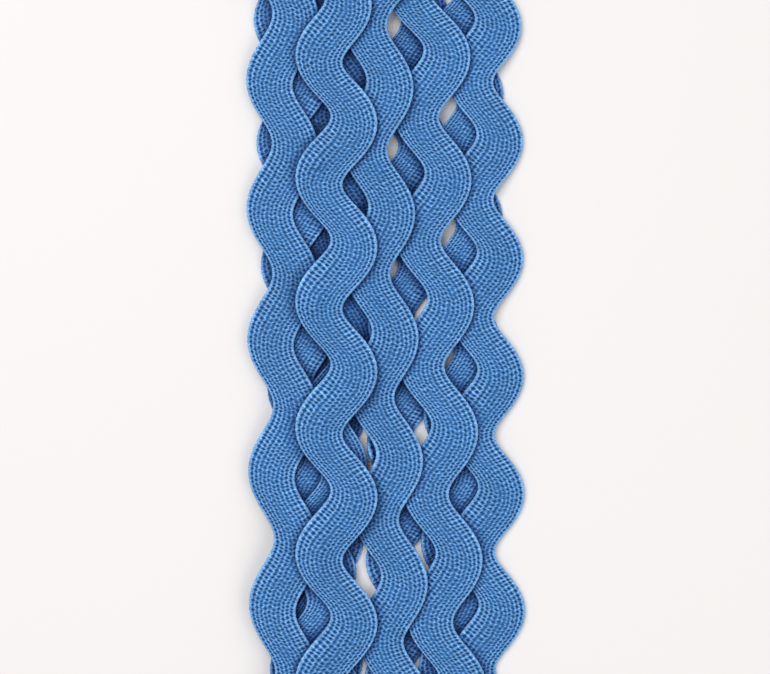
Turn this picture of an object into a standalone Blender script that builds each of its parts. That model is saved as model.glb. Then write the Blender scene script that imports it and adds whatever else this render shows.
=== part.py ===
"""A flat roll of jumbo ric rac: one wavy braid wound lengthwise in five turns, lying on its back.

The roll lies along Y with its face up. Lengths are in millimetres until the mesh is written in metres.
"""

import math
from collections import namedtuple

import bpy
import numpy as np

MM = 0.001

# The braid
BRAID_LENGTH = 2280.0  # two and a half yards, measured straight along the trim
BAND_WIDTH = 9.54  # across the braid itself, between its two wavy edges
BAND_THICK = 1.2
LAYER = 1.35  # from one layer to the next where they lie on each other
FAN = 0.27  # how far the cross rows lean square to the wave: 0 is not at all, 1 is fully
TILT = 0.15  # how far they all lean one way besides
END_FADE = 8.0  # and they lean less and less towards each end of the braid, over this length
END_WAVE = 25.5  # wavelength and reach of the wave at the ends of the roll
END_SWING = 3.14

# The roll
LOOP_LENGTH = 7.0  # braid in the half loop at each end of a turn
LOOP_REACH = 2.3  # how far the middle of the braid runs past the line where it starts to turn
LOOP_OPENING = 1.3  # the least gap inside an end loop
LOOP_HEIGHT = 3.4  # the least height of the face at an end loop, for the first run
LOOP_GROWTH = 0.15  # and how much higher it is for each run after it
LOOP_RISE = 18.0  # the face lifts towards each end over this length
SEEN_TOP = 99.7  # the waves are set in the stretch between these two heights
SEEN_FOOT = 79.8

# The runs in the order in which they are wound. side is 1 on the face and -1 on the back. x_top, x_seen and
# x_foot are where the run's middle lies at the top, in the set stretch and at the foot. crest is a height
# where the wave is furthest right, wave its length and swing its reach to each side. past_top and past_foot
# are how far the run goes beyond the common line at each end.
Run = namedtuple("Run", "side x_top x_seen x_foot crest wave swing past_top past_foot")
RUNS = [
    Run(1, 19.4, 20.87, 21.6, SEEN_TOP - 3.9, 24.7, 3.16, -2.2, -5.0),
    Run(-1, 19.4, 16.84, 14.2, SEEN_TOP - 20.3, 25.5, 3.14, -2.2, -0.8),
    Run(1, 6.9, 9.58, 14.2, SEEN_TOP - 11.1, 25.5, 3.31, 0.2, -0.8),
    Run(-1, 6.9, 4.5, 3.4, SEEN_TOP - 4.0, 25.5, 3.14, 0.2, 0.4),
    Run(1, -1.2, -1.84, 3.4, SEEN_TOP - 17.6, 26.4, 2.76, 1.3, 0.4),
    Run(-1, -1.2, -5.33, -20.6, SEEN_TOP - 20.9, 25.5, 3.14, 1.3, -0.8),
    Run(1, -20.9, -21.67, -20.6, SEEN_TOP - 3.7, 26.8, 2.72, 0.2, -0.8),
    Run(-1, -20.9, -19.35, -10.2, SEEN_TOP - 16.3, 25.5, 3.14, 0.2, 2.0),
    Run(1, -13.4, -10.25, -10.2, SEEN_TOP + 0.4, 25.5, 3.66, 3.0, 2.0),
    Run(-1, -13.4, -12.4, -13.0, SEEN_TOP - 12.0, 25.5, 3.14, 3.0, -2.5),
]
BEYOND = sum(run.past_top + run.past_foot for run in RUNS)
HALF_RUN = (BRAID_LENGTH - (len(RUNS) - 1) * LOOP_LENGTH - BEYOND) / (2 * len(RUNS))
TOP_SHARES = (0.4, 0.2, 0.4)  # what face, loop and back take up of a wave that doesn't meet at the top

# How the runs settle on each other
GRID = 0.5  # cells of the map of what has been laid
MAP_X = 34.0
MAP_Y = 122.0
SAG = 0.08  # how sharply a run curves down where nothing is under it, in 1/mm
SETTLE_ROUNDS = 400
SETTLE_CALM = 3.0  # the last third of the rounds move less and less
TESTS_ALONG = 9  # points in each face of the strip that stay above what has been laid
TESTS_ACROSS = 13

# The finish
BRAID_BLUE = (0.08, 0.22, 0.56)
BRAID_ROUGHNESS = 0.55

# The steps of the solid
SECTIONS_A_WAVE = 8
SECTIONS_A_LOOP = 6
COLUMNS = 3


def ease(t):
    """0 before 0, 1 after 1, and smooth between them."""
    t = np.clip(t, 0.0, 1.0)
    return t * t * (3 - 2 * t)


def top_of(run):
    return HALF_RUN + run.past_top


def foot_of(run):
    return -HALF_RUN - run.past_foot


def plain_phase(run, y):
    """Waves counted up the roll from the run's crest."""
    return (y - run.crest) / run.wave


def phase_gaps():
    """The parts of a wave that the runs and loops take up, so that the wave goes on round every loop."""
    top, loop, foot = ([0.0] * len(RUNS) for _ in range(3))
    waves = LOOP_LENGTH / END_WAVE
    for n in range(len(RUNS) - 1):
        run, after = RUNS[n], RUNS[n + 1]
        if run.side > 0:
            total = plain_phase(run, top_of(run)) + waves + plain_phase(after, top_of(run))
            gap = round(total) - total
            top[n], loop[n], top[n + 1] = (share * gap for share in TOP_SHARES)
        else:
            total = plain_phase(run, foot_of(run)) - waves + plain_phase(after, foot_of(run))
            foot[n] = foot[n + 1] = (round(total) - total) / 2
    return top, loop, foot


TOP_GAP, LOOP_GAP, FOOT_GAP = phase_gaps()


def wave_phase(n, y):
    """The wave's phase up run n, with the parts that it takes up towards its two ends."""
    run = RUNS[n]
    to_top = ease((y - SEEN_TOP) / (top_of(run) - SEEN_TOP))
    to_foot = ease((SEEN_FOOT - y) / (SEEN_FOOT - foot_of(run)))
    return plain_phase(run, y) + TOP_GAP[n] * to_top + FOOT_GAP[n] * to_foot


def middle_of(n, y):
    """Where the middle of run n lies across the roll at height y, without its wave."""
    run = RUNS[n]
    seen = (SEEN_TOP + SEEN_FOOT) / 2
    to_top = ease((y - seen) / (top_of(run) - seen))
    to_foot = ease((seen - y) / (seen - foot_of(run)))
    return run.x_seen + (run.x_top - run.x_seen) * to_top + (run.x_foot - run.x_seen) * to_foot


def swing_of(n, y):
    """The reach of run n's wave, which all runs share at the ends of the roll."""
    to_end = ease((abs(y) - SEEN_TOP) / (HALF_RUN - SEEN_TOP))
    return RUNS[n].swing + (END_SWING - RUNS[n].swing) * to_end


def run_limits():
    """Distances along the braid at which each run begins and ends."""
    starts, ends, along = [], [], 0.0
    for run in RUNS:
        starts.append(along)
        ends.append(along + top_of(run) - foot_of(run))
        along = ends[-1] + LOOP_LENGTH
    return starts, ends


RUN_START, RUN_END = run_limits()


def height_on(n, along):
    """Height up the roll, on run n, of a place that is this far along the braid."""
    done = along - RUN_START[n]
    return foot_of(RUNS[n]) + done if RUNS[n].side > 0 else top_of(RUNS[n]) - done


def middle_line(along):
    """Where the middle of the braid lies across the roll."""
    n = 0
    while n < len(RUNS) - 1 and along >= RUN_START[n + 1]:
        n += 1
    y = height_on(n, min(along, RUN_END[n]))
    phase = RUNS[n].side * wave_phase(n, y)
    if along > RUN_END[n]:
        turned = (along - RUN_END[n]) / LOOP_LENGTH
        phase += turned * (LOOP_LENGTH / END_WAVE + LOOP_GAP[n])
    return middle_of(n, y) + swing_of(n, y) * math.cos(2 * math.pi * phase)


def strip_points(stations, columns):
    """x and the distance along the braid of each point of the strip, as stations by columns."""
    step = 0.2
    across = np.linspace(-0.5, 0.5, columns) * BAND_WIDTH
    middle = np.array([middle_line(s) for s in stations])
    slope = np.array([middle_line(s + step) - middle_line(s - step) for s in stations]) / (2 * step)
    from_end = np.minimum(stations, RUN_END[-1] - np.asarray(stations))
    lean = (FAN * slope + TILT) * np.clip(from_end / END_FADE, 0.0, 1.0)
    along = np.asarray(stations)[:, None] - lean[:, None] * across
    return middle[:, None] + across, np.clip(along, 0.0, RUN_END[-1])


def opening(n, y, heights):
    """The lowest that face run n may lie, where its end loops hold it up."""
    spring = LAYER + LOOP_OPENING
    top = max(heights[n + 1][0].max() + spring, LOOP_HEIGHT + LOOP_GROWTH * n)
    lowest = top * ease((y - HALF_RUN + LOOP_RISE) / LOOP_RISE)
    if n > 0:
        foot = max(heights[n - 1][-1].max() + spring, LOOP_HEIGHT + LOOP_GROWTH * n)
        lowest = np.maximum(lowest, foot * ease((LOOP_RISE - HALF_RUN - y) / LOOP_RISE))
    return lowest


def corners_of(values):
    """The four corner values of each face of the strip."""
    return np.stack([values[:-1, :-1], values[1:, :-1], values[:-1, 1:], values[1:, 1:]])


def test_weights():
    """How much each corner of a face, split from its first corner to its last, counts at each test point."""
    a, b = np.meshgrid(np.linspace(0, 1, TESTS_ALONG), np.linspace(0, 1, TESTS_ACROSS))
    a, b = a.ravel(), b.ravel()
    most, least = np.maximum(a, b), np.minimum(a, b)
    return np.stack([1 - most, a - least, b - least, least], axis=1)


def tests_in(values, weights):
    """The values at the test points in each face."""
    return np.tensordot(weights, corners_of(values), 1)


class Ground:
    """The top of what has been laid so far, on a map seen from above."""

    def __init__(self):
        self.top = np.zeros((int(2 * MAP_X / GRID) + 1, int(2 * MAP_Y / GRID) + 1))

    def cells(self, x, y):
        return np.rint((x + MAP_X) / GRID).astype(int), np.rint((y + MAP_Y) / GRID).astype(int)

    def under(self, x, y):
        """The highest within a cell of each place, so that tilted edges stay clear too."""
        i, j = self.cells(x, y)
        near = (-1, 0, 1)
        return np.max([self.top[i + a, j + b] for a in near for b in near], axis=0)

    def lay(self, x, y, top):
        np.maximum.at(self.top, self.cells(x, y), top)


def settle(floor, weights, row_step, column_step):
    """Heights of a strip that hangs as low as it can with its faces above this floor at every test point."""
    shape = (floor.shape[1] + 1, floor.shape[2] + 1)
    strip = np.full(shape, floor.max())
    norm = (weights**2).sum(axis=1)[:, None, None]
    along, across = 1 / row_step**2, 1 / column_step**2
    for pace in np.clip(np.linspace(SETTLE_CALM, 0, SETTLE_ROUNDS, endpoint=False), 0, 1):
        edged = np.pad(strip, 1, mode="edge")
        pull = (edged[:-2, 1:-1] + edged[2:, 1:-1]) * along + (edged[1:-1, :-2] + edged[1:-1, 2:]) * across
        strip += pace * ((pull - SAG) / (2 * along + 2 * across) - strip)
        short = np.maximum(floor - tests_in(strip, weights), 0) / norm
        lift = (weights.T[:, :, None, None] * short).max(axis=1)
        push = np.zeros(shape)
        push[:-1, :-1] = lift[0]
        push[1:, :-1] = np.maximum(push[1:, :-1], lift[1])
        push[:-1, 1:] = np.maximum(push[:-1, 1:], lift[2])
        push[1:, 1:] = np.maximum(push[1:, 1:], lift[3])
        strip += push
    return strip


def run_stations(n):
    count = round((RUN_END[n] - RUN_START[n]) / RUNS[n].wave * SECTIONS_A_WAVE)
    return np.linspace(RUN_START[n], RUN_END[n], count + 1)


def loop_points(n, heights, out):
    """x, y and z of the half loop after run n, this far outside the underside of its face."""
    x, along = strip_points(np.linspace(RUN_END[n], RUN_START[n + 1], SECTIONS_A_LOOP + 1), COLUMNS)
    side = RUNS[n].side
    turned = math.pi * np.clip((along - RUN_END[n]) / LOOP_LENGTH, 0, 1)
    straight = np.abs(along - RUN_END[n] - LOOP_LENGTH * turned / math.pi)
    beyond = (LOOP_REACH + out - BAND_THICK / 2) * np.sin(turned)
    y = height_on(n, RUN_END[n]) + side * (beyond - straight)
    before, after = heights[n][-1], heights[n + 1][0]
    spread = (before - after + side * (2 * out - BAND_THICK)) / 2
    z = (before + after + BAND_THICK) / 2 + spread * np.cos(turned)
    return x, y, z


def lay_runs():
    """The underside height of every run at its stations and columns, each run settled on those below it."""
    ground, weights, heights = Ground(), test_weights(), {}
    backs = [n for n in reversed(range(len(RUNS))) if RUNS[n].side < 0]
    faces = [n for n in range(len(RUNS)) if RUNS[n].side > 0]
    for n in backs + faces:
        stations = run_stations(n)
        x, along = strip_points(stations, COLUMNS)
        y = height_on(n, along)
        test_x, test_y = tests_in(x, weights), tests_in(y, weights)
        floor = ground.under(test_x, test_y)
        if n in faces:
            floor = np.maximum(floor, opening(n, test_y, heights))
        steps = (stations[1] - stations[0], BAND_WIDTH / (COLUMNS - 1))
        heights[n] = settle(floor, weights, *steps)
        ground.lay(test_x, test_y, tests_in(heights[n], weights) + LAYER)
        if n in faces:
            for before in (n - 1, n):
                if before >= 0:
                    ground.lay(*(tests_in(v, weights) for v in loop_points(before, heights, LAYER)))
    return heights


def strip_surface():
    """The braid's middle surface as points (x, y, z), station by station along its winding."""
    heights, rows = lay_runs(), []
    for n in range(len(RUNS)):
        x, along = strip_points(run_stations(n), COLUMNS)
        rows.append(np.stack([x, height_on(n, along), heights[n] + BAND_THICK / 2], axis=2))
        if n < len(RUNS) - 1:
            rows.append(np.stack(loop_points(n, heights, BAND_THICK / 2), axis=2)[1:-1])
    return np.concatenate(rows)


def make_material(name, colour, roughness):
    """A plain Principled material."""
    material = bpy.data.materials.new(name)
    material.use_nodes = True
    shader = material.node_tree.nodes["Principled BSDF"]
    shader.inputs["Base Color"].default_value = (*colour, 1.0)
    shader.inputs["Roughness"].default_value = roughness
    shader.inputs["Metallic"].default_value = 0.0
    return material


def make_strip(name, collection):
    """The braid: a grid with a row at each station, laid along the winding and thickened."""
    surface = strip_surface()
    bpy.ops.mesh.primitive_grid_add(x_subdivisions=COLUMNS - 1, y_subdivisions=len(surface) - 1, size=1)
    strip = bpy.context.object
    strip.name = strip.data.name = name
    for old in list(strip.users_collection):
        old.objects.unlink(strip)
    collection.objects.link(strip)
    strip.data.vertices.foreach_set("co", (surface * MM).ravel())
    split = strip.modifiers.new("split", "TRIANGULATE")
    split.quad_method = "FIXED"
    thick = strip.modifiers.new("thickness", "SOLIDIFY")
    thick.thickness = BAND_THICK * MM
    thick.offset = 0.0
    return strip


def stand_at_origin(strip):
    """Puts the origin of the roll's frame at the middle of its underside."""
    corners = np.array(strip.evaluated_get(bpy.context.evaluated_depsgraph_get()).bound_box)
    low, high = corners.min(axis=0), corners.max(axis=0)
    strip.location = (-(low[0] + high[0]) / 2, -(low[1] + high[1]) / 2, -low[2])


def main():
    for old in list(bpy.data.objects):
        bpy.data.objects.remove(old)
    roll = bpy.data.collections.new("ric_rac_roll")
    bpy.context.scene.collection.children.link(roll)
    strip = make_strip("ric_rac", roll)
    strip.data.materials.append(make_material("braid_blue", BRAID_BLUE, BRAID_ROUGHNESS))
    stand_at_origin(strip)


main()
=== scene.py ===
"""The looks of a flat roll of jumbo ric rac: the braid's yarns, its edges and its finish.

The braid is one wavy band wound lengthwise in five turns. Lengths are in millimetres until a mesh is written
in metres, heights run up the roll, and the layout has its own middle, ROLL_MIDDLE.
"""

import math
from collections import namedtuple

import bpy
import numpy as np
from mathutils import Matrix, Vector


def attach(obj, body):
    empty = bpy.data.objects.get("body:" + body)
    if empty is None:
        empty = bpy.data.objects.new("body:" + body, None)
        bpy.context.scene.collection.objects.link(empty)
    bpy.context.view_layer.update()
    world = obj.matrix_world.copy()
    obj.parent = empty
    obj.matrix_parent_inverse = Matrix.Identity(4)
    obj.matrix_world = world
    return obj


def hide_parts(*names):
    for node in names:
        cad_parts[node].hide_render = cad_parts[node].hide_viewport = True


MM = 0.001

# The braid
BRAID_LENGTH = 2280.0
BAND_WIDTH = 9.54
CORE_THICK = 0.72  # between the two faces where no yarn stands up
LAYER = 1.3
FAN = 0.27  # how far the cross rows lean square to the wave: 0 is not at all, 1 is fully
TILT = 0.15  # how far they all lean one way besides
END_FADE = 8.0  # and they lean less and less towards each end of the braid, over this length
END_WAVE = 25.5
END_SWING = 3.14

# The yarns. A stitch is one hole in a column of holes, and the columns run along the braid.
STITCH = 29.1 / 32  # along the middle line
COLUMNS = 10
FIRST_B = 0.25
LAST_B = COLUMNS + 1 - FIRST_B
MIDDLE_B = (FIRST_B + LAST_B) / 2
CROWD = 0.19  # how much closer the columns lie on the side that a bend has just left
UNFAN = 0.05  # how much less the stitches fan out than the strip does
PULL = 1.3  # how soon one set of yarns comes to lie on top on the side that a bend comes to
YARN_LEAD = 0.26  # and how much higher it then stands
YARN_ROUND = 0.85
BETWEEN_COLUMNS = 0.76  # height of a yarn halfway between a column of holes and a column of beads
COLUMN_WAVE = 0.26
YARNS_APART = 0.1
BEAD_RISE = 0.22  # how far a bead stands above the bottom of a hole
SCALLOP = 0.06  # how far each bead of the edge stands out
EDGE_YARN = 0.3  # width of the tight yarn along each edge, in columns
EDGE_HEIGHT = 0.85  # and how high it stands, as a share of a bead
EDGE_ROUND = 0.9  # the band thins over this width at each edge
EDGE_THINNING = 0.75
RIM_OUT = 0.16  # how far the rim stands out between the two faces
RIM_COLUMN = 0.2  # and how much of a column that counts for

# The roll
LOOP_LENGTH = 7.0
LOOP_REACH = 2.3
LOOP_OPENING = 1.3
LOOP_HEIGHT = 3.4
LOOP_GROWTH = 0.15
LOOP_RISE = 18.0
SEEN_TOP = 99.7
SEEN_FOOT = 79.8
ROLL_MIDDLE = (0.2565, 0.5)

# The runs in the order in which they are wound, as in the solids. side is 1 on the face and -1 on the back.
Run = namedtuple("Run", "side x_top x_seen x_foot crest wave swing past_top past_foot")
RUNS = [
    Run(1, 19.4, 20.87, 21.6, SEEN_TOP - 3.9, 24.7, 3.16, -2.2, -5.0),
    Run(-1, 19.4, 16.84, 14.2, SEEN_TOP - 20.3, 25.5, 3.14, -2.2, -0.8),
    Run(1, 6.9, 9.58, 14.2, SEEN_TOP - 11.1, 25.5, 3.31, 0.2, -0.8),
    Run(-1, 6.9, 4.5, 3.4, SEEN_TOP - 4.0, 25.5, 3.14, 0.2, 0.4),
    Run(1, -1.2, -1.84, 3.4, SEEN_TOP - 17.6, 26.4, 2.76, 1.3, 0.4),
    Run(-1, -1.2, -5.33, -20.6, SEEN_TOP - 20.9, 25.5, 3.14, 1.3, -0.8),
    Run(1, -20.9, -21.67, -20.6, SEEN_TOP - 3.7, 26.8, 2.72, 0.2, -0.8),
    Run(-1, -20.9, -19.35, -10.2, SEEN_TOP - 16.3, 25.5, 3.14, 0.2, 2.0),
    Run(1, -13.4, -10.25, -10.2, SEEN_TOP + 0.4, 25.5, 3.66, 3.0, 2.0),
    Run(-1, -13.4, -12.4, -13.0, SEEN_TOP - 12.0, 25.5, 3.14, 3.0, -2.5),
]
BEYOND = sum(run.past_top + run.past_foot for run in RUNS)
HALF_RUN = (BRAID_LENGTH - (len(RUNS) - 1) * LOOP_LENGTH - BEYOND) / (2 * len(RUNS))
TOP_SHARES = (0.4, 0.2, 0.4)

# How the runs settle on each other
GRID = 0.4
MAP_X = 34.0
MAP_Y = 122.0
SAG = 0.08
SETTLE_STEP = 1.0
SETTLE_COLUMNS = 10
SETTLE_ROUNDS = 500
SETTLE_CALM = 3.0
TESTS_ALONG = 4
TESTS_ACROSS = 4

# The mesh
SURFACE_STEP = 0.2
SURFACE_COLUMNS = 21
SMOOTHING = 6
STEPS_ALONG = 4  # rows for each stitch
STEPS_ACROSS = 2  # columns of points for each column of holes
WANDER_ALONG = 0.09  # how far the stitches stray from their even places, in mm
WANDER_ACROSS = 0.065

# The light that reaches each place between the runs, painted as shade into the braid's colour
SKY_GRID = 0.2
SKY_STEP = 0.15
SKY_WAYS = 16  # directions looked in
SKY_REACHES = (0.3, 0.5, 0.8, 1.2, 1.8, 2.6)  # and how far in each
BELOW_ALL = -1.0
ABOVE_ALL = 99.0


def ease(t):
    t = np.clip(t, 0.0, 1.0)
    return t * t * (3 - 2 * t)


def top_of(run):
    return HALF_RUN + run.past_top


def foot_of(run):
    return -HALF_RUN - run.past_foot


def plain_phase(run, y):
    return (y - run.crest) / run.wave


def phase_gaps():
    """The parts of a wave that the runs and loops take up, so that the wave goes on round every loop."""
    top, loop, foot = ([0.0] * len(RUNS) for _ in range(3))
    waves = LOOP_LENGTH / END_WAVE
    for n in range(len(RUNS) - 1):
        run, after = RUNS[n], RUNS[n + 1]
        if run.side > 0:
            total = plain_phase(run, top_of(run)) + waves + plain_phase(after, top_of(run))
            gap = round(total) - total
            top[n], loop[n], top[n + 1] = (share * gap for share in TOP_SHARES)
        else:
            total = plain_phase(run, foot_of(run)) - waves + plain_phase(after, foot_of(run))
            foot[n] = foot[n + 1] = (round(total) - total) / 2
    return top, loop, foot


TOP_GAP, LOOP_GAP, FOOT_GAP = phase_gaps()


def run_limits():
    """Distances along the braid at which each run begins and ends."""
    starts, ends, along = [], [], 0.0
    for run in RUNS:
        starts.append(along)
        ends.append(along + top_of(run) - foot_of(run))
        along = ends[-1] + LOOP_LENGTH
    return starts, ends


RUN_START, RUN_END = run_limits()


def height_on(n, along):
    """Height up the roll, on run n, of a place that is this far along the braid."""
    done = along - RUN_START[n]
    return foot_of(RUNS[n]) + done if RUNS[n].side > 0 else top_of(RUNS[n]) - done


def middle_on(n, along):
    """Where the middle of the braid lies across the roll, on run n and the loop after it."""
    run = RUNS[n]
    y = height_on(n, np.minimum(along, RUN_END[n]))
    to_top = ease((y - SEEN_TOP) / (top_of(run) - SEEN_TOP))
    to_foot = ease((SEEN_FOOT - y) / (SEEN_FOOT - foot_of(run)))
    phase = run.side * (plain_phase(run, y) + TOP_GAP[n] * to_top + FOOT_GAP[n] * to_foot)
    turned = np.maximum(along - RUN_END[n], 0) / LOOP_LENGTH
    phase = phase + turned * (LOOP_LENGTH / END_WAVE + LOOP_GAP[n])
    swing = run.swing + (END_SWING - run.swing) * ease((np.abs(y) - SEEN_TOP) / (HALF_RUN - SEEN_TOP))
    seen = (SEEN_TOP + SEEN_FOOT) / 2
    to_top = ease((y - seen) / (top_of(run) - seen))
    to_foot = ease((seen - y) / (seen - foot_of(run)))
    middle = run.x_seen + (run.x_top - run.x_seen) * to_top + (run.x_foot - run.x_seen) * to_foot
    return middle + swing * np.cos(2 * math.pi * phase)


def middle_line(along):
    """Where the middle of the braid lies across the roll, at each of these distances along it."""
    along = np.asarray(along, float)
    middle = np.zeros_like(along)
    for n in range(len(RUNS)):
        last = n == len(RUNS) - 1
        here = (along >= RUN_START[n]) if last else (along >= RUN_START[n]) & (along < RUN_START[n + 1])
        here |= (along < 0) & (n == 0)
        middle[here] = middle_on(n, along[here])
    return middle


def strip_points(stations, shares):
    """x and the distance along the braid of each point, for these stations and shares of the half width."""
    step = 0.2
    across = np.asarray(shares) * BAND_WIDTH / 2
    middle = middle_line(stations)
    slope = (middle_line(stations + step) - middle_line(stations - step)) / (2 * step)
    from_end = np.minimum(stations, RUN_END[-1] - stations)
    lean = (FAN * slope + TILT) * np.clip(from_end / END_FADE, 0.0, 1.0)
    along = stations[:, None] - lean[:, None] * across
    return middle[:, None] + across, np.clip(along, 0.0, RUN_END[-1])


def opening(n, y, heights):
    """The lowest that face run n may lie, where its end loops hold it up."""
    spring = LAYER + LOOP_OPENING
    top = max(heights[n + 1][0].max() + spring, LOOP_HEIGHT + LOOP_GROWTH * n)
    lowest = top * ease((y - HALF_RUN + LOOP_RISE) / LOOP_RISE)
    if n > 0:
        foot = max(heights[n - 1][-1].max() + spring, LOOP_HEIGHT + LOOP_GROWTH * n)
        lowest = np.maximum(lowest, foot * ease((LOOP_RISE - HALF_RUN - y) / LOOP_RISE))
    return lowest


def corners_of(values):
    """The four corner values of each face of the strip."""
    return np.stack([values[:-1, :-1], values[1:, :-1], values[:-1, 1:], values[1:, 1:]])


def test_weights():
    """How much each corner of a face counts at each of the test points in it."""
    a, b = np.meshgrid(np.linspace(0, 1, TESTS_ALONG), np.linspace(0, 1, TESTS_ACROSS))
    a, b = a.ravel(), b.ravel()
    return np.stack([(1 - a) * (1 - b), a * (1 - b), (1 - a) * b, a * b], axis=1)


def tests_in(values, weights):
    """The values at the test points in each face."""
    return np.tensordot(weights, corners_of(values), 1)


class Ground:
    """The top of what has been laid so far, on a map seen from above."""

    def __init__(self):
        self.top = np.zeros((int(2 * MAP_X / GRID) + 1, int(2 * MAP_Y / GRID) + 1))

    def cells(self, x, y):
        return np.rint((x + MAP_X) / GRID).astype(int), np.rint((y + MAP_Y) / GRID).astype(int)

    def under(self, x, y):
        """The highest within a cell of each place, so that tilted edges stay clear too."""
        i, j = self.cells(x, y)
        near = (-1, 0, 1)
        return np.max([self.top[i + a, j + b] for a in near for b in near], axis=0)

    def lay(self, x, y, top):
        np.maximum.at(self.top, self.cells(x, y), top)


def settle(floor, weights, row_step, column_step):
    """Heights of a strip that hangs as low as it can with its faces above this floor at every test point."""
    shape = (floor.shape[1] + 1, floor.shape[2] + 1)
    strip = np.full(shape, floor.max())
    norm = (weights**2).sum(axis=1)[:, None, None]
    along, across = 1 / row_step**2, 1 / column_step**2
    for pace in np.clip(np.linspace(SETTLE_CALM, 0, SETTLE_ROUNDS, endpoint=False), 0, 1):
        edged = np.pad(strip, 1, mode="edge")
        pull = (edged[:-2, 1:-1] + edged[2:, 1:-1]) * along + (edged[1:-1, :-2] + edged[1:-1, 2:]) * across
        strip += pace * ((pull - SAG) / (2 * along + 2 * across) - strip)
        short = np.maximum(floor - tests_in(strip, weights), 0) / norm
        lift = (weights.T[:, :, None, None] * short).max(axis=1)
        push = np.zeros(shape)
        push[:-1, :-1] = lift[0]
        push[1:, :-1] = np.maximum(push[1:, :-1], lift[1])
        push[:-1, 1:] = np.maximum(push[:-1, 1:], lift[2])
        push[1:, 1:] = np.maximum(push[1:, 1:], lift[3])
        strip += push
    return strip


SETTLE_SHARES = np.linspace(-1, 1, SETTLE_COLUMNS)


def run_stations(n):
    count = round((RUN_END[n] - RUN_START[n]) / SETTLE_STEP)
    return np.linspace(RUN_START[n], RUN_END[n], count + 1)


def loop_shape(n, before, after, along, out):
    """y and z round the half loop after run n, this far outside the middle of the braid."""
    side = RUNS[n].side
    turned = math.pi * np.clip((along - RUN_END[n]) / LOOP_LENGTH, 0, 1)
    straight = np.abs(along - RUN_END[n] - LOOP_LENGTH * turned / math.pi)
    y = height_on(n, RUN_END[n]) + side * ((LOOP_REACH + out) * np.sin(turned) - straight)
    z = (before + after) / 2 + ((before - after) / 2 + side * out) * np.cos(turned)
    return y, z


def lay_runs():
    """The height of every run's middle at its stations, each run settled on those below it."""
    ground, weights, heights = Ground(), test_weights(), {}
    backs = [n for n in reversed(range(len(RUNS))) if RUNS[n].side < 0]
    faces = [n for n in range(len(RUNS)) if RUNS[n].side > 0]
    for n in backs + faces:
        stations = run_stations(n)
        x, along = strip_points(stations, SETTLE_SHARES)
        y = height_on(n, along)
        test_x, test_y = tests_in(x, weights), tests_in(y, weights)
        floor = ground.under(test_x, test_y)
        if n in faces:
            floor = np.maximum(floor, opening(n, test_y, heights))
        steps = (stations[1] - stations[0], BAND_WIDTH / (SETTLE_COLUMNS - 1))
        heights[n] = settle(floor, weights, *steps)
        ground.lay(test_x, test_y, tests_in(heights[n], weights) + LAYER)
        for before in (n - 1, n) if n in faces else ():
            if before >= 0:
                ends = heights[before][-1] + LAYER / 2, heights[before + 1][0] + LAYER / 2
                stations = np.linspace(RUN_END[before], RUN_START[before + 1], 15)
                x, along = strip_points(stations, SETTLE_SHARES)
                y, z = loop_shape(before, *ends, along, LAYER / 2)
                ground.lay(*(tests_in(v, weights) for v in (x, y, z)))
    return {n: height + LAYER / 2 for n, height in heights.items()}


class Middle:
    """The middle surface of the braid, which the runs' settled heights give."""

    def __init__(self):
        heights = lay_runs()
        self.columns = []
        for n in range(len(RUNS)):
            _, along = strip_points(run_stations(n), SETTLE_SHARES)
            self.columns.append([(along[:, c], heights[n][:, c]) for c in range(SETTLE_COLUMNS)])

    def height(self, n, along, share):
        """Height of run n at these distances along the braid, at one share of the half width."""
        place = (share + 1) / 2 * (SETTLE_COLUMNS - 1)
        left = min(int(place), SETTLE_COLUMNS - 2)
        low, high = (np.interp(along, *self.columns[n][c]) for c in (left, left + 1))
        return low + (high - low) * (place - left)

    def points(self, stations, shares):
        """(x, y, z) of each point, as stations by shares."""
        x, along = strip_points(stations, shares)
        y, z = np.zeros_like(x), np.zeros_like(x)
        for c, share in enumerate(shares):
            s = along[:, c]
            for n in range(len(RUNS)):
                flat = (s >= RUN_START[n]) & (s <= RUN_END[n])
                y[flat, c] = height_on(n, s[flat])
                z[flat, c] = self.height(n, s[flat], share)
                if n < len(RUNS) - 1:
                    loop = (s > RUN_END[n]) & (s < RUN_START[n + 1])
                    before = self.height(n, RUN_END[n], share)
                    after = self.height(n + 1, RUN_START[n + 1], share)
                    y[loop, c], z[loop, c] = loop_shape(n, before, after, s[loop], 0.0)
        return np.stack([x, y, z], axis=2)


def smooth_along(values, rounds):
    """The values averaged with their neighbours along the braid."""
    for _ in range(rounds):
        edged = np.pad(values, ((1, 1), (0, 0), (0, 0)), mode="edge")
        values = (edged[:-2] + 2 * values + edged[2:]) / 4
    return values


def unit(vectors):
    return vectors / np.linalg.norm(vectors, axis=-1, keepdims=True)


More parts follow.
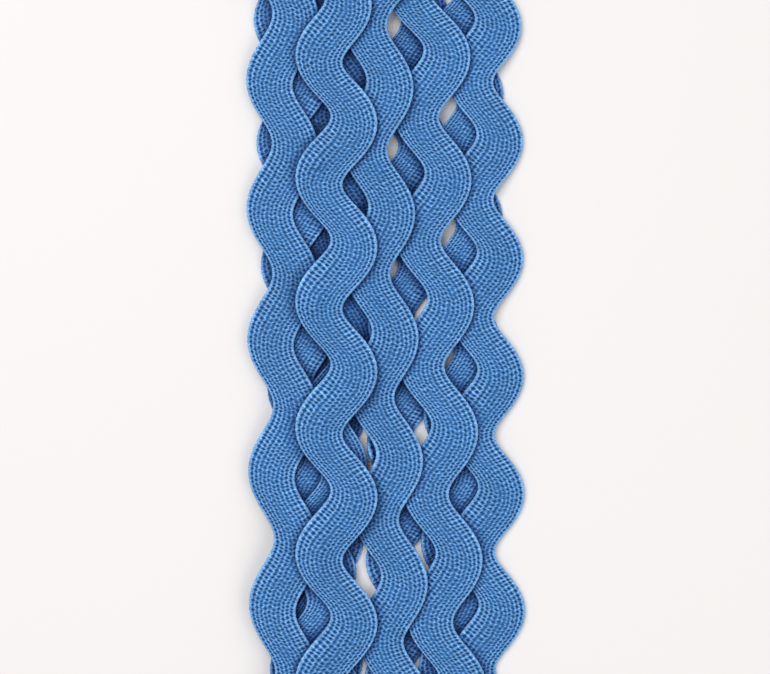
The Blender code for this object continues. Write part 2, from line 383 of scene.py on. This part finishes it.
class Surface:
    """The middle surface on a regular grid, with its directions and how the waves lean."""

    def __init__(self):
        count = int(RUN_END[-1] / SURFACE_STEP) + 1
        self.stations = np.linspace(0, RUN_END[-1], count)
        self.step = self.stations[1]
        shares = np.linspace(-1, 1, SURFACE_COLUMNS)
        points = smooth_along(Middle().points(self.stations, shares), SMOOTHING)
        down, across = unit(np.gradient(points, axis=0)), unit(np.gradient(points, axis=1))
        self.grid = np.concatenate([points, across, unit(np.cross(across, down))], axis=2)
        middle = middle_line(self.stations)
        self.slope = np.gradient(middle, self.step)
        length = np.hypot(1.0, self.slope) * self.step
        self.stitches = np.concatenate([[0.0], np.cumsum((length[1:] + length[:-1]) / 2)]) / STITCH

    def at(self, stations, shares):
        """Point, direction across and outward direction at these stations and shares of the half width."""
        i = np.clip(stations / self.step, 0, len(self.stations) - 1.001)
        j = np.clip((shares + 1) / 2 * (SURFACE_COLUMNS - 1), 0, SURFACE_COLUMNS - 1.001)
        i0, j0 = i.astype(int), j.astype(int)
        u, v = (i - i0)[..., None], (j - j0)[..., None]
        low = self.grid[i0, j0] * (1 - v) + self.grid[i0, j0 + 1] * v
        high = self.grid[i0 + 1, j0] * (1 - v) + self.grid[i0 + 1, j0 + 1] * v
        found = low * (1 - u) + high * u
        return found[..., :3], found[..., 3:6], unit(found[..., 6:])


def stitch_height(a, b, pull):
    """How high the yarns stand, from 0 in a hole to 1 on a bead.

    a counts stitches along and b columns across, and pull, from -1 to 1, says which set of yarns lies on top.
    """
    column = BETWEEN_COLUMNS - COLUMN_WAVE * np.cos(2 * math.pi * b)
    over = YARNS_APART * np.cos(math.pi * b) + YARN_LEAD * pull
    first = ((1 + np.cos(2 * math.pi * (a + b / 2))) / 2) ** YARN_ROUND * (column + over)
    second = ((1 + np.cos(2 * math.pi * (a - b / 2))) / 2) ** YARN_ROUND * (column - over)
    return np.clip(np.maximum(first, second), 0, 1)


def wander(station, share):
    """How far the stitches stray along and across the braid: slow waves that never line up."""
    along = np.sin(0.83 * station + 2.1 * share) + np.sin(2.17 * station - 3.3 * share + 0.7)
    across = np.sin(1.31 * station + 4.7 * share + 1.9) + np.sin(2.71 * station - 2.3 * share)
    return WANDER_ALONG * along, WANDER_ACROSS * across * (1 - share**2)


def section_half(share):
    """Half the thickness of the core at this share of the half width: it rounds off at the edges."""
    full = 1 - EDGE_ROUND / (BAND_WIDTH / 2)
    inward = np.clip((np.abs(share) - full) / (1 - full), 0, 1)
    return CORE_THICK / 2 * np.sqrt(1 - EDGE_THINNING * inward**2)


def stitch_places(surface, a, even):
    """The station and the share of the half width of each stitch, and how the waves lean there."""
    station = np.interp(a, surface.stitches, surface.stations)
    slope = np.interp(station, surface.stations, surface.slope)[:, None]
    fade = np.clip(np.minimum(station, RUN_END[-1] - station) / END_FADE, 0, 1)[:, None]
    share = even + CROWD * slope * (1 - even**2)
    stray_along, stray_across = wander(station[:, None], even)
    stations = station[:, None] + UNFAN * slope * fade * share * BAND_WIDTH / 2 + stray_along * fade
    return stations, share + stray_across / (BAND_WIDTH / 2), slope


def braid_mesh(name, surface, sky, first, last):
    """The braid from one stitch to another, as a closed mesh with its yarns standing up."""
    a = np.arange(first, last + 1) / STEPS_ALONG
    b = np.concatenate([[FIRST_B], np.arange(0.5, COLUMNS + 1, 1 / STEPS_ACROSS), [LAST_B]])
    even = (b - MIDDLE_B) / (LAST_B - MIDDLE_B)
    stations, share, slope = stitch_places(surface, a, even)
    points, across, normal = surface.at(stations, share)
    pull = np.clip(-slope * even * PULL, 0, 1) * np.sign(slope)
    edge = np.clip(1 - (LAST_B - MIDDLE_B) * (1 - np.abs(even)) / EDGE_YARN, 0, 1)
    high = stitch_height(a[:, None], b, pull)
    high = high + (np.maximum(high, EDGE_HEIGHT) - high) * edge
    rise = (section_half(share) + BEAD_RISE * high)[..., None]
    scallop = SCALLOP * np.cos(2 * math.pi * a)[:, None, None]
    under = np.concatenate([[0], np.arange(1, len(b) - 1, STEPS_ACROSS), [len(b) - 1]])[::-1]
    outer = points + normal * rise
    inner = (points - normal * rise)[:, under]
    left = points[:, :1] - across[:, :1] * (RIM_OUT + scallop)
    right = points[:, -1:] + across[:, -1:] * (RIM_OUT + scallop)
    core = section_half(share)[..., None] * normal
    top_light = sky.openness(points + core, normal)
    low_light = sky.openness(points - core, -normal)[:, under]
    light = np.concatenate([top_light, top_light[:, -1:], low_light, top_light[:, :1]], axis=1)
    ring = np.concatenate([outer, right, inner, left], axis=1)
    ring_b = np.concatenate([b, [LAST_B + RIM_COLUMN], b[under], [FIRST_B - RIM_COLUMN]])
    ring_pull = np.concatenate([pull, pull[:, -1:], pull[:, under], pull[:, :1]], axis=1)
    return ring_mesh(name, ring, a, ring_b, np.stack([ring_pull, light], axis=2))


def ring_mesh(name, ring, a, ring_b, pull_light):
    """A closed tube through rows of rings, with UV maps for the stitch counts and for pull and light."""
    count, width = ring.shape[:2]
    i, j = np.meshgrid(np.arange(count - 1), np.arange(width), indexing="ij")
    after = (j + 1) % width
    quads = np.stack([i * width + j, i * width + after, (i + 1) * width + after, (i + 1) * width + j], axis=2)
    quads = quads.reshape(-1, 4)
    mesh = bpy.data.meshes.new(name)
    points = (ring - np.array([*ROLL_MIDDLE, 0])) * MM
    caps = [list(range(width - 1, -1, -1)), list(range((count - 1) * width, count * width))]
    mesh.from_pydata(points.reshape(-1, 3).tolist(), [], quads.tolist() + caps)
    b = np.broadcast_to(ring_b, (count, width)).copy()
    uv = np.stack([np.broadcast_to(a[:, None], (count, width)), b], axis=2).reshape(-1, 2)
    loops = np.zeros(len(mesh.loops), int)
    mesh.loops.foreach_get("vertex_index", loops)
    layer = mesh.uv_layers.new(name="stitches")
    layer.data.foreach_set("uv", uv[loops].astype(np.float32).ravel())
    layer = mesh.uv_layers.new(name="pull")
    layer.data.foreach_set("uv", pull_light.reshape(-1, 2)[loops].astype(np.float32).ravel())
    mesh.shade_smooth()
    piece = bpy.data.objects.new(name, mesh)
    bpy.context.scene.collection.objects.link(piece)
    return piece


class Sky:
    """How much of the light reaches each place on the two faces of the braid, past the runs around it."""

    def __init__(self, surface):
        stations = np.arange(0, RUN_END[-1], SKY_STEP)
        shares = np.linspace(-1, 1, int(BAND_WIDTH / SKY_STEP))
        points, _, normal = surface.at(stations[:, None] + 0 * shares, shares + 0 * stations[:, None])
        rise = normal * section_half(shares)[:, None]
        size = (int(2 * MAP_X / SKY_GRID) + 1, int(2 * MAP_Y / SKY_GRID) + 1)
        self.top, self.low = np.full(size, BELOW_ALL), np.full(size, ABOVE_ALL)
        for face in (points + rise, points - rise):
            i, j = self.cells(face[..., 0], face[..., 1])
            np.maximum.at(self.top, (i, j), face[..., 2])
            np.minimum.at(self.low, (i, j), face[..., 2])

    def cells(self, x, y):
        i = np.rint((x + MAP_X) / SKY_GRID).astype(int)
        j = np.rint((y + MAP_Y) / SKY_GRID).astype(int)
        return np.clip(i, 0, int(2 * MAP_X / SKY_GRID)), np.clip(j, 0, int(2 * MAP_Y / SKY_GRID))

    def openness(self, points, normal):
        """From 0 where no light comes to 1 where nothing stands in its way."""
        up = normal[..., 2] > 0
        closed = np.zeros(points.shape[:-1])
        for way in np.arange(SKY_WAYS) * 2 * math.pi / SKY_WAYS:
            steepest = np.zeros_like(closed)
            for reach in SKY_REACHES:
                x = points[..., 0] + reach * math.cos(way)
                y = points[..., 1] + reach * math.sin(way)
                cells = self.cells(x, y)
                above = np.where(up, self.top[cells] - points[..., 2], points[..., 2] - self.low[cells])
                steepest = np.maximum(steepest, above / reach)
            closed += steepest**2 / (1 + steepest**2) / SKY_WAYS
        return 1 - closed


class Nodes:
    """Short calls for making a shader's nodes."""

    def __init__(self, tree):
        self.tree = tree

    def add(self, kind, **settings):
        node = self.tree.nodes.new(kind)
        for key, value in settings.items():
            setattr(node, key, value)
        return node

    def link(self, source, socket):
        if isinstance(source, bpy.types.NodeSocket):
            self.tree.links.new(source, socket)
        else:
            socket.default_value = source

    def math(self, operation, *values, clamp=False):
        node = self.add("ShaderNodeMath", operation=operation, use_clamp=clamp)
        for value, socket in zip(values, node.inputs):
            self.link(value, socket)
        return node.outputs[0]

    def uv(self, name):
        """The two values of this UV map."""
        split = self.add("ShaderNodeSeparateXYZ")
        self.tree.links.new(self.add("ShaderNodeUVMap", uv_map=name).outputs[0], split.inputs[0])
        return split.outputs[0], split.outputs[1]

    def ramp(self, value, stops):
        node = self.add("ShaderNodeValToRGB")
        elements = node.color_ramp.elements
        while len(elements) < len(stops):
            elements.new(0.5)
        for element, (place, colour) in zip(elements, stops):
            element.position = place
            element.color = (*colour, 1.0)
        self.link(value, node.inputs[0])
        return node.outputs[0]

    def noise(self, a, b, grain, shift=0.0):
        """Noise that changes this many times a stitch and a column."""
        place = self.add("ShaderNodeCombineXYZ")
        self.link(self.math("MULTIPLY_ADD", a, grain.stitch, shift), place.inputs[0])
        self.link(self.math("MULTIPLY", b, grain.column), place.inputs[1])
        node = self.add("ShaderNodeTexNoise")
        node.inputs["Scale"].default_value = 1.0
        node.inputs["Detail"].default_value = 2.0
        self.tree.links.new(place.outputs[0], node.inputs["Vector"])
        return node.outputs["Fac"]


# The yarn's blue, with painted shade and highlight: where each colour comes, from the painted shade at the
# bottom of a hole to the painted highlight on top of a bead
PAINTED_SHADE_AND_HIGHLIGHT_BLUES = [
    (0.04, (0.002, 0.04, 0.17)),
    (0.3, (0.012, 0.105, 0.34)),
    (0.62, (0.046, 0.185, 0.455)),
    (0.98, (0.22, 0.46, 0.82)),
]
# Painted shade multiplied into them: what is left of them, from where little light comes to where all of it
# does
PAINTED_SHADES = [
    (0.4, (0.07, 0.17, 0.32)),
    (0.68, (0.36, 0.47, 0.62)),
    (0.95, (1.03, 1.03, 1.03)),
]

Grain = namedtuple("Grain", "stitch column")
FILAMENTS = Grain(9.0, 0.7)
TANGLE = Grain(0.23, 0.5)
STRAY = Grain(0.31, 0.7)
PATCHES = Grain(0.05, 0.1)
MOTTLE = Grain(1.1, 1.1)
GLINTS = Grain(1.3, 1.3)
GLINT_SHIFT = 7.0

MEAN_HEIGHT = 0.55  # heights come nearer to this where the pattern is less clear
CLEAR_LEAST = 0.2
CLEAR_BY_TANGLE = 1.1
CLEAR_BY_EDGE = 0.5
CLEAR_BY_PULL = 0.2
EDGE_FALL = 1.6  # how quickly the edges' clearness is lost towards the middle
# Lifts the edge yarn's height, for the bump, and so also lightens it as painted highlight through the
# height-to-colour ramp.
EDGE_LIFT = 0.1
RIB_DEPTH = 0.16  # how strongly wavy ribs run across the middle of the band
RIB_STRAY = 1.6  # and how far they wander, in stitches
GLINT = 0.9  # how bright the painted highlights on the brightest beads are
FILAMENT_BUMP = 0.35


def yarn_nodes(n, a, b, pull):
    """Height of the yarns from the stitch counts, as in stitch_height, and their filaments."""
    half = n.math("MULTIPLY", b, 0.5)
    turn = n.math("MULTIPLY", b, math.pi)
    column = n.math("COSINE", n.math("MULTIPLY", turn, 2.0))
    column = n.math("MULTIPLY_ADD", column, -COLUMN_WAVE, BETWEEN_COLUMNS)
    over = n.math("MULTIPLY", n.math("COSINE", turn), YARNS_APART)
    over = n.math("MULTIPLY_ADD", pull, YARN_LEAD, over)

    def yarn(operation):
        s = n.math(operation, a, half)
        wave = n.math("COSINE", n.math("MULTIPLY", s, 2 * math.pi))
        profile = n.math("POWER", n.math("MULTIPLY_ADD", wave, 0.5, 0.5, clamp=True), YARN_ROUND)
        high = n.math("MULTIPLY", profile, n.math(operation, column, over))
        return high, n.noise(s, b, FILAMENTS)

    first, first_grain = yarn("ADD")
    second, second_grain = yarn("SUBTRACT")
    top = n.math("GREATER_THAN", second, first)
    grain = n.math("MULTIPLY", first_grain, n.math("SUBTRACT", 1.0, top))
    grain = n.math("ADD", n.math("MULTIPLY", second_grain, top), grain)
    return n.math("MAXIMUM", first, second), grain


def pattern_nodes(n, a, b, high, strong, near_edge, off_middle):
    """The yarns' height with the tight yarn of the edges and the tangle and ribs of the middle."""
    inside = LAST_B - MIDDLE_B - EDGE_YARN
    edge = n.math("DIVIDE", n.math("SUBTRACT", off_middle, inside), EDGE_YARN, clamp=True)
    lift = n.math("SUBTRACT", n.math("MAXIMUM", high, EDGE_HEIGHT), high)
    high = n.math("ADD", high, n.math("MULTIPLY", edge, lift))
    clear = n.math("MULTIPLY_ADD", n.noise(a, b, TANGLE), CLEAR_BY_TANGLE, CLEAR_LEAST)
    clear = n.math("MULTIPLY_ADD", near_edge, CLEAR_BY_EDGE, clear)
    clear = n.math("ADD", clear, n.math("MULTIPLY", strong, CLEAR_BY_PULL))
    high = n.math("MULTIPLY_ADD", n.math("SUBTRACT", high, MEAN_HEIGHT), clear, MEAN_HEIGHT)
    high = n.math("ADD", high, n.math("MULTIPLY", edge, EDGE_LIFT))
    rib = n.math("MULTIPLY_ADD", n.noise(a, b, STRAY), RIB_STRAY, a)
    rib = n.math("COSINE", n.math("MULTIPLY", rib, 2 * math.pi))
    in_middle = n.math("MULTIPLY_ADD", near_edge, -RIB_DEPTH, RIB_DEPTH, clamp=True)
    return n.math("ADD", high, n.math("MULTIPLY", rib, in_middle))


def brightness_nodes(n, a, b, high, grain, strong, near_edge):
    """How bright each place is: filaments, patches, mottling and painted highlights on single beads."""
    patches = n.math("MULTIPLY_ADD", n.noise(a, b, PATCHES), 0.3, -0.15)
    shade = n.math("ADD", n.math("MULTIPLY_ADD", grain, 0.7, 0.65), patches)
    shade = n.math("ADD", shade, n.math("MULTIPLY_ADD", n.noise(a, b, MOTTLE), 1.3, -0.7))
    # Painted highlights: single high beads picked at random are made brighter, more so near the edges and on
    # the side a bend comes to.
    picked = n.math("MULTIPLY_ADD", n.noise(a, b, GLINTS, GLINT_SHIFT), 4.0, -1.9, clamp=True)
    raised = n.math("MULTIPLY_ADD", high, 4.0, -2.9, clamp=True)
    painted_glint = n.math("MULTIPLY", picked, raised)
    painted_glint = n.math("MULTIPLY", painted_glint, n.math("MULTIPLY_ADD", strong, 0.7, 0.3))
    return n.math("MULTIPLY_ADD", n.math("MULTIPLY", painted_glint, near_edge), GLINT, shade)


def braid_material():
    """Shiny braided yarn: its crossings, holes, filaments and edge from the stitch counts in the UV map, with
    painted shade and highlight by the yarns' height, painted highlights on single beads and painted shade
    from the light in the other UV map.
    """
    material = bpy.data.materials.new("braid")
    material.use_nodes = True
    tree = material.node_tree
    shader = tree.nodes["Principled BSDF"]
    n = Nodes(tree)
    a, b = n.uv("stitches")
    pull, light = n.uv("pull")
    strong = n.math("ABSOLUTE", pull)
    off_middle = n.math("ABSOLUTE", n.math("SUBTRACT", b, MIDDLE_B))
    near_edge = n.math("DIVIDE", off_middle, LAST_B - MIDDLE_B, clamp=True)
    near_edge = n.math("POWER", near_edge, EDGE_FALL)
    high, grain = yarn_nodes(n, a, b, pull)
    high = pattern_nodes(n, a, b, high, strong, near_edge, off_middle)
    tone = n.add("ShaderNodeVectorMath", operation="SCALE")
    # Painted shade in the holes and painted highlight on the beads: the colour follows the yarns' height.
    n.link(n.ramp(high, PAINTED_SHADE_AND_HIGHLIGHT_BLUES), tone.inputs[0])
    n.link(brightness_nodes(n, a, b, high, grain, strong, near_edge), tone.inputs["Scale"])
    # Painted shade: the colour is multiplied by a ramp of each place's openness to the light, darker beside
    # and under the runs around it.
    painted_shade_mix = n.add("ShaderNodeMix", data_type="RGBA", blend_type="MULTIPLY")
    factor, colour, other = (painted_shade_mix.inputs[i] for i in (0, 6, 7))
    factor.default_value = 1.0
    n.link(tone.outputs[0], colour)
    n.link(n.ramp(light, PAINTED_SHADES), other)
    n.link(painted_shade_mix.outputs[2], shader.inputs["Base Color"])
    bump = n.add("ShaderNodeBump")
    bump.inputs["Strength"].default_value = 0.6
    bump.inputs["Distance"].default_value = BEAD_RISE * MM
    n.link(n.math("ADD", high, n.math("MULTIPLY", grain, FILAMENT_BUMP)), bump.inputs["Height"])
    n.link(bump.outputs[0], shader.inputs["Normal"])
    shader.inputs["Roughness"].default_value = 0.5
    shader.inputs["Specular IOR Level"].default_value = 0.18
    return material


# The view: the photo's frame in mm, and its middle in the layout
PIXELS_WIDE = 770
PIXELS_HIGH = 674
PIXELS_TO_MM = 1 / 4.78
FRAME_WIDTH = PIXELS_WIDE * PIXELS_TO_MM
FRAME_MIDDLE = (-0.1, SEEN_TOP - PIXELS_HIGH / 2 * PIXELS_TO_MM)
FACE_HEIGHT = 4.0  # the frame is measured at this height
LENS = 110.0
SENSOR = 36.0


def make_camera():
    """Straight above the roll, with the photo's frame."""
    data = bpy.data.cameras.new("camera")
    data.lens, data.sensor_width = LENS, SENSOR
    camera = bpy.data.objects.new("camera", data)
    bpy.context.scene.collection.objects.link(camera)
    distance = FRAME_WIDTH * LENS / SENSOR
    x, y = FRAME_MIDDLE[0] - ROLL_MIDDLE[0], FRAME_MIDDLE[1] - ROLL_MIDDLE[1]
    camera.location = Vector((x, y, FACE_HEIGHT + distance)) * MM
    data.clip_start, data.clip_end = 0.01, 10.0
    bpy.context.scene.camera = camera


FLOOR_SIZE = 3.0
FLOOR_COLOUR = (0.9, 0.87, 0.86, 1.0)
WORLD_COLOUR = (1.0, 0.99, 0.98, 1.0)
WORLD_STRENGTH = 0.4
Lamp = namedtuple("Lamp", "name place size power")
LAMPS = [
    Lamp("key", (-0.3, 0.3, 0.75), 0.6, 4.6),
    Lamp("fill", (0.5, -0.35, 0.6), 0.6, 2.2),
]


def make_stage():
    """A pale floor, soft light from above and a pale world."""
    bpy.ops.mesh.primitive_plane_add(size=FLOOR_SIZE)
    floor = bpy.context.object
    floor.name = "floor"
    paint = bpy.data.materials.new("floor")
    paint.use_nodes = True
    shader = paint.node_tree.nodes["Principled BSDF"]
    shader.inputs["Base Color"].default_value = FLOOR_COLOUR
    shader.inputs["Roughness"].default_value = 0.8
    floor.data.materials.append(paint)
    for lamp in LAMPS:
        data = bpy.data.lights.new(lamp.name, "AREA")
        data.size, data.energy = lamp.size, lamp.power
        light = bpy.data.objects.new(lamp.name, data)
        bpy.context.scene.collection.objects.link(light)
        light.location = lamp.place
        light.rotation_euler = (-Vector(lamp.place)).to_track_quat("-Z", "Y").to_euler()
    world = bpy.data.worlds.new("world")
    world.use_nodes = True
    background = world.node_tree.nodes["Background"]
    background.inputs[0].default_value = WORLD_COLOUR
    background.inputs[1].default_value = WORLD_STRENGTH
    bpy.context.scene.world = world
    bpy.context.scene.view_settings.view_transform = "Standard"


def make_roll():
    """The braid, one piece for each turn."""
    surface = Surface()
    sky, material = Sky(surface), braid_material()
    starts = [RUN_START[n] for n in range(0, len(RUNS), 2)] + [RUN_END[-1]]
    rows = np.rint(np.interp(starts, surface.stations, surface.stitches) * STEPS_ALONG).astype(int)
    rows[-1] = int(surface.stitches[-1] * STEPS_ALONG)
    for turn, (first, last) in enumerate(zip(rows[:-1], rows[1:])):
        piece = braid_mesh(f"turn_{turn + 1}", surface, sky, first, last)
        piece.data.materials.append(material)
        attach(piece, "root")
        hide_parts("ric_rac")


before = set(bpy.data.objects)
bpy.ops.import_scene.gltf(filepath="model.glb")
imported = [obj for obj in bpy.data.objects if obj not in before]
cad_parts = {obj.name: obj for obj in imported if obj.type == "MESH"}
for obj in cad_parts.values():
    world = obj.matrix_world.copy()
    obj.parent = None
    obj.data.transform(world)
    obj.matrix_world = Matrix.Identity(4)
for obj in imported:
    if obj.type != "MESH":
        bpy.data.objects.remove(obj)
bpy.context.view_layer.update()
make_camera()
make_stage()
make_roll()
